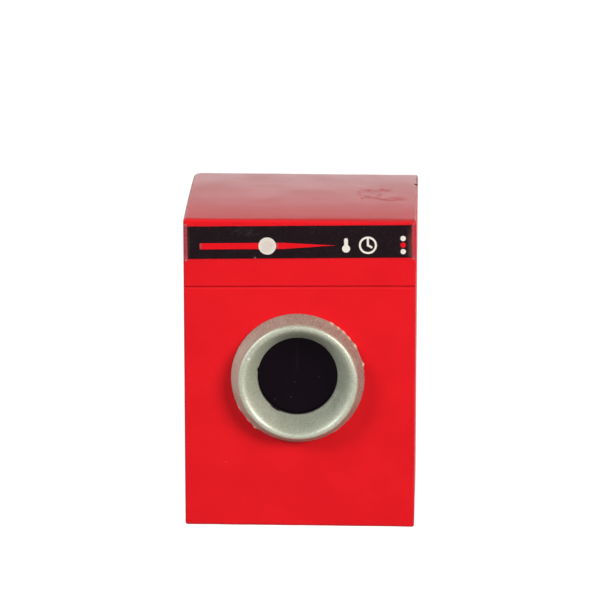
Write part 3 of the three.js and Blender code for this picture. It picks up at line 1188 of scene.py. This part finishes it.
def lacquer_colour(tree, place, mottle, streaks, edge):
    """Red, with each paint laid over it where its cover is 1: haze, and painted shade that darkens
    what faces up towards the back, marks that the mesh carries with painted shade in the groove,
    deeper sides, a painted sheen on the upper edges and a faint speck."""
    up = remap(tree, facing(tree, "Z"), *FACING_UP)
    sides = sideways(tree, *FACING_SIDE)
    haze = remap(tree, streaks, *WIDE_RANGE, *HAZE_SHARES)
    # Painted shade on what faces up, growing towards the back
    worn = remap(tree, along(tree, place, "Y"), FRONT, -FRONT, *TOP_SHADE_SHARES)
    speck = spot(tree, place, FRONT_SPECK, FRONT_SPECK_RADII)
    base = blend(tree, remap(tree, mottle, *MIDDLE_RANGE, 0.0, MOTTLE_SHARE), RED, DEEP_RED)
    for paint, cover, share in (
            (HAZE, up, haze), (TOP_SHADE_RED, up, worn), (HAZE, mark(tree, "patch"), PATCH_SHARE),
            (SCAR_RED, mark(tree, "scar"), SCAR_SHARE),
            # Painted shade in the groove
            (DEEP_RED, mark(tree, "groove"), GROOVE_SHADE_SHARE), (DEEP_RED, sides, SOAKED_SHARE),
            # The upper edges' pale colour is painted sheen
            (EDGE_SHEEN_RED, edge, 1.0), (HAZE, speck, FRONT_SPECK_SHARE),
            (CHIP_BROWN, mark(tree, "bare"), 1.0)):
        base = coat(tree, base, paint, cover, share)
    return base


def lacquer_relief(tree, place, streaks, end_grain):
    """Ripples everywhere, wood grain apart from the end grain, its pores, and scraped scars."""
    lined = times(tree, streaks, rest_of(tree, end_grain))
    pores = times(tree, grain(tree, millimetres(tree, PORE_STRETCH), PORE_SIZE), end_grain)
    scraped = times(tree, grain(tree, place, SCRAPE_SIZE), mark(tree, "scar"))
    normal = ripples(tree, place, *PEEL_RIPPLES)
    for height, depth in ((lined, STREAK_DEPTH), (pores, PORE_DEPTH), (scraped, SCRAPE_DEPTH)):
        normal = relief(tree, height, depth, normal)
    return normal


def red_lacquer():
    """Gloss lacquer over wood, duller on the end grain, the upper edges, the chips and the marks.
    The upper edges carry a painted sheen.
    """
    material, tree = new_material("red_lacquer")
    place = millimetres(tree)
    mottle = grain(tree, place, MOTTLE_SIZE, FINE_DETAIL)
    streaks = grain(tree, millimetres(tree, STREAK_SIZES), 1.0, FINE_DETAIL)
    end_grain = sideways(tree, *FACING_END_GRAIN)
    edge = upper_edge(tree)
    rough = remap(tree, mottle, *WIDE_RANGE, *LACQUER_ROUGHNESS)
    for dull, more in ((mark(tree, "scar"), SCAR_DULLNESS), (edge, EDGE_DULLNESS),
                       (mark(tree, "bare"), EDGE_DULLNESS), (end_grain, END_GRAIN_DULLNESS)):
        rough = calculate(tree, "ADD", rough, times(tree, dull, more))
    base = lacquer_colour(tree, place, mottle, streaks, edge)
    normal = lacquer_relief(tree, place, streaks, end_grain)
    add_surface(tree, base, rough, normal, {"Specular Tint": RED_GLOSS})
    return material


def silver_paint():
    """Silver paint on a moulding: mottled by its flake, with painted shade and painted red
    reflection on the outer cone, painted light and shade by side, pale flash with a painted
    highlight, black paint round the hole and one white speck."""
    material, tree = new_material("silver_paint")
    place = millimetres(tree)
    flake = grain(tree, place, FLAKE_SIZE)
    black = mark(tree, "black")
    white = mark(tree, "speck")
    bright = remap(tree, flake, *NARROW_RANGE)
    # Painted light and shade by side on the funnel and lip
    painted_light = remap(tree, mark(tree, "painted_light"), -1.0, 1.0, *PAINTED_LIGHT_FACTORS)
    base = product(tree, blend(tree, bright, DARK_SILVER, SILVER), painted_light)
    # Painted shade and painted red reflection on the outer cone, where the thin mark is
    thin = blend(tree, bright, DARK_SHADED_CONE_SILVER, SHADED_CONE_SILVER)
    for paint, cover in ((thin, mark(tree, "thin")), (FLASH_SHINE_CREAM, mark(tree, "flash")),
                         (SPECK_WHITE, white), (BLACK, black)):
        base = blend(tree, cover, base, paint)
    silver = rest_of(tree, calculate(tree, "MAXIMUM", black, white))
    rough = remap(tree, grain(tree, place, CLOUD_SIZE), *MIDDLE_RANGE, *SILVER_ROUGHNESS)
    add_surface(tree, base, rough, relief(tree, flake, FLAKE_DEPTH),
                {"Metallic": times(tree, silver, SILVER_METAL)})
    return material


def black_gloss():
    """Smooth black with a few faint dots of dust and a faint paler upright line."""
    material, tree = new_material("black_gloss")
    place = millimetres(tree)
    upper = remap(tree, along(tree, place, "Z"), RING_Z, RING_Z + 1)
    # A faint paler upright line on the upper half
    rub = times(tree, stripe(tree, along(tree, place, "X"), PALE_LINE_X, PALE_LINE_HALF), upper)
    base = blend(tree, times(tree, rub, PALE_LINE_SHARE), BLACK, DUST)
    for centre in DUST_SPOTS:
        base = coat(tree, base, DUST, spot(tree, place, centre, DUST_RADII), DUST_SHARE)
    rough = remap(tree, grain(tree, place, DISC_CLOUD_SIZE), *WIDE_RANGE, *DISC_ROUGHNESS)
    add_surface(tree, base, rough, ripples(tree, place, *DISC_RIPPLES),
                {"Specular Tint": DARK_GLOSS})
    return material


def clear_film():
    """Clear film: what lies under it shows. Its ends are dull and dark where they bend over
    the block's edges, with a painted highlight along a fold line, and painted glints at its
    corners."""
    material, tree = new_material("clear_film")
    place = millimetres(tree)
    rim = mark(tree, "rim")
    across = along(tree, place, "X")
    # The fold lines carry a painted highlight
    folds = [stripe(tree, across, centre, FOLD_HALF) for centre in FILM_FOLDS]
    folded = times(tree, calculate(tree, "MAXIMUM", *folds), FOLD_SHARE)
    pale = calculate(tree, "MAXIMUM", folded, mark(tree, "glint"))
    base = blend(tree, pale, blend(tree, rim, FILM_TINT, FILM_RIM), FILM_HIGHLIGHT)
    alpha = remap(tree, facing(tree, "Y"), *FILM_FRONT, 0.0, FILM_ALPHA)
    for cover, share in ((rim, RIM_ALPHA), (pale, PALE_ALPHA)):
        alpha = calculate(tree, "MAXIMUM", alpha, times(tree, cover, share))
    add_surface(tree, base, FILM_ROUGHNESS, ripples(tree, place, *FILM_RIPPLES),
                {"Alpha": alpha, "IOR": FILM_IOR})
    return material


def ink(name, print_colour, rubbed_colour, roughness, extras=None):
    """Print with a faint mottle and tiny rubbed spots. Extras adds to the print's colour."""
    material, tree = new_material(name)
    place = millimetres(tree)
    spots = remap(tree, grain(tree, place, INK_SPOT_SIZE, FINE_DETAIL), *INK_SPOT_RANGE)
    clouds = remap(tree, grain(tree, place, INK_CLOUD_SIZE, FINE_DETAIL), *INK_CLOUD_RANGE)
    base = blend(tree, times(tree, spots, clouds), print_colour, rubbed_colour)
    if extras:
        base = extras(tree, place, base)
    rough = remap(tree, clouds, 0.0, 1.0, *roughness)
    add_surface(tree, base, rough, ripples(tree, place, *INK_RIPPLES),
                {"Specular Tint": PRINT_GLOSS})
    return material


def black_extras(tree, place, base):
    """The ground's ends have faded to brown. It has a scuff in its upper left and a pale speck
    on its lower edge."""
    across = along(tree, place, "X")
    height = stripe(tree, along(tree, place, "Z"), FADE_Z, FADE_HALF)
    for start, end, share in FADES:
        base = coat(tree, base, FADED_BLACK, remap(tree, across, start, end, 0.0, share), height)
    scuff = remap(tree, grain(tree, place, SCUFF_SIZE), *SCUFF_RANGE, 0.0, SCUFF_SHARE)
    base = coat(tree, base, PRINT_PALE, spot(tree, place, SCUFF_CENTRE, SCUFF_RADII), scuff)
    speck = spot(tree, place, LABEL_SPECK, LABEL_SPECK_RADII)
    return coat(tree, base, PRINT_PALE, speck, LABEL_SPECK_SHARE)


def red_extras(tree, place, base):
    """The red is faded at its left end and where it comes out from under the round mark."""
    across = along(tree, place, "X")
    for start in (box_of("slider_track")[0].x, box_of("slider_mark")[1].x):
        base = coat(tree, base, FADED_RED, stripe(tree, across, start, RED_FADE), TRACK_FADE_SHARE)
    return base


def pale_extras(tree, place, base):
    """The round mark is paler at its rim."""
    low, high = box_of("slider_mark")
    middle = ((low.x + high.x) / 2, (low.z + high.z) / 2)
    radius = radius_of("slider_mark") * MARK_INSIDE_SHARE
    rim = rest_of(tree, spot(tree, place, middle, (radius, radius)))
    return coat(tree, base, PRINT_WHITE, rim, MARK_RIM_SHARE)


# Stage

def seen_ray(tree):
    """1 for what the camera, gloss and glass see, 0 for light on the object."""
    path = add_node(tree, "ShaderNodeLightPath")
    seen = calculate(tree, "MAXIMUM", path.outputs["Is Camera Ray"], path.outputs["Is Glossy Ray"])
    return calculate(tree, "MAXIMUM", seen, path.outputs["Is Transmission Ray"])


def floor():
    """A wide pale floor that looks white, but lights the object little."""
    half = FLOOR_HALF * MM
    mesh = bpy.data.meshes.new("floor")
    mesh.from_pydata([(-half, -half, 0), (half, -half, 0), (half, half, 0), (-half, half, 0)],
                     [], [(0, 1, 2, 3)])
    obj = add_object("floor", mesh)
    material, tree = new_material("pale_floor")
    glow = times(tree, seen_ray(tree), FLOOR_GLOW)
    shader = add_node(tree, "ShaderNodeBsdfPrincipled", {
        "Base Color": FLOOR_GREY, "Roughness": 1.0, "Specular IOR Level": 0.0,
        "Emission Color": WHITE, "Emission Strength": glow})
    add_node(tree, "ShaderNodeOutputMaterial", {"Surface": shader.outputs["BSDF"]})
    mesh.materials.append(material)


def sky():
    """White near the horizon and greyer above for what is seen, even and dim as light."""
    world = bpy.data.worlds.new("studio")
    bpy.context.scene.world = world
    world.use_nodes = True
    tree = world.node_tree
    tree.nodes.clear()
    rise = along(tree, add_node(tree, "ShaderNodeTexCoord").outputs["Generated"], "Z")
    steps = add_node(tree, "ShaderNodeValToRGB", {"Fac": rise})
    elements = steps.color_ramp.elements
    while len(elements) < len(SKY_STEPS):
        elements.new(1.0)
    for element, (position, bright) in zip(elements, SKY_STEPS):
        element.position = position
        element.color = (bright, bright, bright, 1)
    shown = blend(tree, seen_ray(tree), SKY_AMBIENT, steps.outputs["Color"])
    background = add_node(tree, "ShaderNodeBackground", {"Color": shown})
    add_node(tree, "ShaderNodeOutputWorld", {"Surface": background.outputs[0]})


def stand(obj, target, azimuth, elevation, distance):
    """Places a light or the camera round a target and aims it. Azimuth runs from the front to
    the right. Both angles are in radians."""
    flat = math.cos(elevation)
    out = Vector((math.sin(azimuth) * flat, -math.cos(azimuth) * flat, math.sin(elevation)))
    obj.location = target + out * distance * MM
    obj.rotation_euler = (target - obj.location).to_track_quat("-Z", "Y").to_euler()


def soft_light(name, azimuth, elevation, distance, size, power, tint=WHITE):
    """A square soft light. Its angles are in degrees."""
    data = bpy.data.lights.new(name, "AREA")
    data.size = size * MM
    data.energy = power
    data.color = tint
    obj = add_object(name, data)
    target = Vector((0, FRONT, FRONT_HEIGHT / 2)) * MM
    stand(obj, target, math.radians(azimuth), math.radians(elevation), distance)
    return obj


def split_light(light, block):
    """Splits a light in two, so that the block takes its brightness but not its mirror image.
    From behind, the block's top would be lost in it. The other pieces take both."""
    twin = light.copy()
    twin.visible_glossy = False
    bpy.context.scene.collection.objects.link(twin)
    for half, state in ((light, "EXCLUDE"), (twin, "INCLUDE")):
        lit = bpy.data.collections.new(half.name + "_reach")
        lit.objects.link(block)
        lit.collection_objects[0].light_linking.link_state = state
        half.light_linking.receiver_collection = lit


def studio_lights():
    for name, settings in LIGHTS.items():
        light = soft_light(name, **settings)
        if name in SPLIT_LIGHTS:
            split_light(light, bpy.data.objects["lacquered_block"])


def camera():
    """The camera, at the photograph's viewing angle."""
    data = bpy.data.cameras.new("camera")
    data.lens = CAMERA_LENS
    data.sensor_width = SENSOR_WIDTH
    obj = add_object("camera", data)
    target = Vector((CAMERA_TARGET_X, FRONT, CAMERA_TARGET_Z)) * MM
    stand(obj, target, CAMERA_SIDE, CAMERA_PITCH, CAMERA_DISTANCE)
    bpy.context.scene.camera = obj


# Putting it together

def finishes():
    """One material for each slot of the record."""
    return {
        "red_lacquer": red_lacquer(),
        "silver_paint": silver_paint(),
        "black_gloss": black_gloss(),
        "clear_film": clear_film(),
        "black_ink": ink("black_print", PRINT_BLACK, RUBBED_BLACK, BLACK_INK_ROUGHNESS,
                         black_extras),
        "red_ink": ink("red_print", PRINT_RED, RUBBED_RED, RED_INK_ROUGHNESS, red_extras),
        "pale_ink": ink("pale_print", PRINT_PALE, RUBBED_PALE, PALE_INK_ROUGHNESS, pale_extras),
        "white_ink": ink("white_print", PRINT_WHITE, RUBBED_WHITE, PALE_INK_ROUGHNESS),
    }


def dryer():
    """Every piece stands for one CAD node and takes its finish from one slot."""
    materials = finishes()
    for obj, node, slot in (
            (wooden_block(), "cabinet_block", "red_lacquer"),
            (door_ring(), "door_ring", "silver_paint"),
            (porthole_disc(), "porthole_disc", "black_gloss"),
            (label_film(), "label_film", "clear_film"),
            (label_ground(), "label_ground", "black_ink"),
            (slider_track(), "slider_track", "red_ink"),
            (round_print("pale_mark", "slider_mark"), "slider_mark", "pale_ink"),
            (heat_symbol(), "heat_symbol", "white_ink"),
            (timer_symbol(), "timer_symbol", "white_ink"),
            (round_print("lamp_dot_upper", "lamp_mark_upper"), "lamp_mark_upper", "white_ink"),
            (round_print("lamp_dot_middle", "lamp_mark_middle"), "lamp_mark_middle", "red_ink"),
            (round_print("lamp_dot_lower", "lamp_mark_lower"), "lamp_mark_lower", "white_ink")):
        obj.data.materials.append(materials[slot])
        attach(obj, "root")
        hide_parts(node)


camera()
floor()
sky()
dryer()
studio_lights()
bpy.context.scene.view_settings.view_transform = "Standard"
